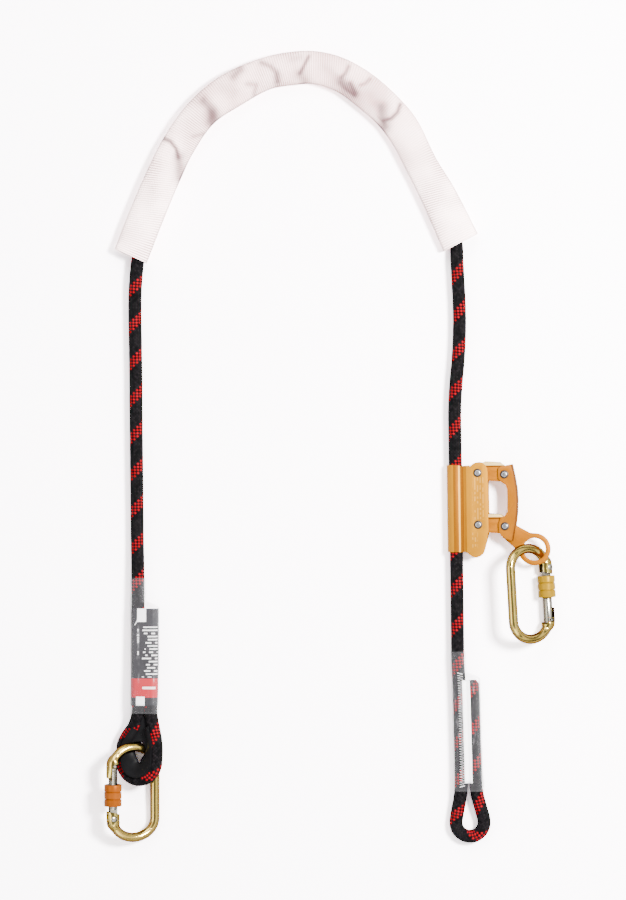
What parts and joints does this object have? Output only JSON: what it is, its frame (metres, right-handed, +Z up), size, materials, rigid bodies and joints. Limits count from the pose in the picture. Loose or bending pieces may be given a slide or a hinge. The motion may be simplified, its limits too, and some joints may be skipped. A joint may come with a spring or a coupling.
{
  "type": "tree climbing lanyard",
  "caption": "Rope positioning lanyard with sewn eyes, a cloth sleeve, a cam rope adjuster and screw-gate oval carabiners, laid out as an arch.",
  "frame": {"origin": "centre of the plan at floor level, of all but the free stretch of rope", "axes": "+X to the right of the layout, from the plain leg to the adjuster's leg; +Y away, towards the arch; +Z up from the floor"},
  "size_m": [0.4778, 0.8393, 0.0433],
  "materials": {
    "rope_sheath": "woven black sheath with red tracers",
    "gold_plated_steel": "yellow passivated stamped steel",
    "pin_steel": "bright zinc",
    "cam_steel": "plain steel",
    "yellow_zinc_steel": "yellow zinc, glossy",
    "gate_steel": "bright zinc",
    "orange_anodised": "orange anodised",
    "yellow_anodised": "yellow anodised",
    "thimble_plastic": "black moulded plastic",
    "clear_film": "clear shrunk film",
    "label_face": "blank printed label",
    "strip_face": "blank white strip",
    "cloth_weave": "ribbed woven tube"
  },
  "bodies": {
    "lanyard": {"rope": "rope_sheath", "rope_left_eye": "rope_sheath", "rope_right_eye": "rope_sheath", "left_thimble": "thimble_plastic", "left_clear_cover": "clear_film", "right_clear_cover": "clear_film", "left_label": "label_face", "right_label_strip": "strip_face", "protective_sleeve": "cloth_weave"},
    "adjuster": {"adjuster_body": "gold_plated_steel", "upper_body_pin": "pin_steel", "lower_body_pin": "pin_steel", "cam_spring": "pin_steel"},
    "upper_cam_link": {"upper_link": "gold_plated_steel", "upper_cam": "cam_steel"},
    "lower_cam_link": {"lower_link": "gold_plated_steel", "lower_cam": "cam_steel"},
    "lever_arm": {"lever": "gold_plated_steel", "upper_lever_pin": "pin_steel", "lower_lever_pin": "pin_steel"},
    "eye": {"eye_plate": "gold_plated_steel"},
    "left_carabiner": {"left_carabiner_frame": "yellow_zinc_steel", "left_hinge_rivet": "gate_steel"},
    "left_gate_arm": {"left_gate": "gate_steel", "left_nose_pin": "gate_steel", "left_gate_spring": "gate_steel"},
    "left_plunger": {"left_gate_plunger": "gate_steel"},
    "left_lock": {"left_lock_sleeve": "orange_anodised"},
    "right_carabiner": {"right_carabiner_frame": "yellow_zinc_steel", "right_hinge_rivet": "gate_steel"},
    "right_gate_arm": {"right_gate": "gate_steel", "right_nose_pin": "gate_steel", "right_gate_spring": "gate_steel"},
    "right_plunger": {"right_gate_plunger": "gate_steel"},
    "right_lock": {"right_lock_sleeve": "yellow_anodised"}
  },
  "joints": [
    {"name": "adjuster_slide", "type": "slide", "parent": "lanyard", "child": "adjuster", "axis": [-0.0127, 0.9999, 0], "range_m": [-0.095, 0.05]},
    {"name": "upper_link_hinge", "type": "hinge", "parent": "adjuster", "child": "upper_cam_link", "pos_m": [0.15634, -0.02729, 0.01178], "axis": [-0.1115, -0.0014, 0.9938], "range_deg": [0, 20], "stiffness_Nm_per_rad": 0.12, "springref_deg": -34.38, "deforming": ["cam_spring"]},
    {"name": "lower_link_hinge", "type": "hinge", "parent": "adjuster", "child": "lower_cam_link", "pos_m": [0.15703, -0.0822, 0.01178], "axis": [-0.1115, -0.0014, 0.9938], "range_deg": [0, 20.5]},
    {"name": "lever_hinge", "type": "hinge", "parent": "upper_cam_link", "child": "lever_arm", "pos_m": [0.18452, -0.02887, 0.01494], "axis": [-0.1115, -0.0014, 0.9938], "range_deg": [-20.5, 0]},
    {"name": "eye_plate_hinge", "type": "hinge", "parent": "lever_arm", "child": "eye", "pos_m": [0.18521, -0.08378, 0.01494], "axis": [-0.1115, -0.0014, 0.9938], "range_deg": [-30, 40]},
    {"name": "right_carabiner_swing", "type": "hinge", "parent": "eye", "child": "right_carabiner", "pos_m": [0.21589, -0.10807, 0.01834], "axis": [0.1115, 0.0014, -0.9938], "range_deg": [-80, 30]},
    {"name": "left_carabiner_swing", "type": "hinge", "parent": "lanyard", "child": "left_carabiner", "pos_m": [-0.20843, -0.33925, 0.01677], "axis": [0.4221, -0.0474, 0.9053], "range_deg": [-28, 20]},
    {"name": "left_gate_hinge", "type": "hinge", "parent": "left_carabiner", "child": "left_gate_arm", "pos_m": [-0.23088, -0.3926, 0.02594], "axis": [-0.4221, 0.0474, -0.9053], "range_deg": [0, 9], "stiffness_Nm_per_rad": 0.05, "springref_deg": -28.65, "deforming": ["left_gate_spring"]},
    {"name": "left_plunger_slide", "type": "slide", "parent": "left_gate_arm", "child": "left_plunger", "axis": [0, 0.9986, 0.0523], "range_m": [0, 0.0013]},
    {"name": "left_lock_slide", "type": "slide", "parent": "left_gate_arm", "child": "left_lock", "axis": [0, -0.9986, -0.0523], "range_m": [-0.02, 0]},
    {"name": "right_gate_hinge", "type": "hinge", "parent": "right_carabiner", "child": "right_gate_arm", "pos_m": [0.22891, -0.12726, 0.00863], "axis": [-0.6015, -0.0336, -0.7982], "range_deg": [0, 20], "stiffness_Nm_per_rad": 0.05, "springref_deg": -28.65, "deforming": ["right_gate_spring"]},
    {"name": "right_plunger_slide", "type": "slide", "parent": "right_gate_arm", "child": "right_plunger", "axis": [0.0558, -0.9984, 0], "range_m": [0, 0.0013]},
    {"name": "right_lock_slide", "type": "slide", "parent": "right_gate_arm", "child": "right_lock", "axis": [-0.0558, 0.9984, 0], "range_m": [-0.024, 0]}
  ],
  "couplings": [
    {"joint": "lower_link_hinge", "follows": "upper_link_hinge", "ratio": 1},
    {"joint": "lever_hinge", "follows": "upper_link_hinge", "ratio": -1},
    {"joint": "left_plunger_slide", "follows": "left_gate_hinge", "m_per_rad": 0.0032},
    {"joint": "right_plunger_slide", "follows": "right_gate_hinge", "m_per_rad": 0.0032}
  ]
}
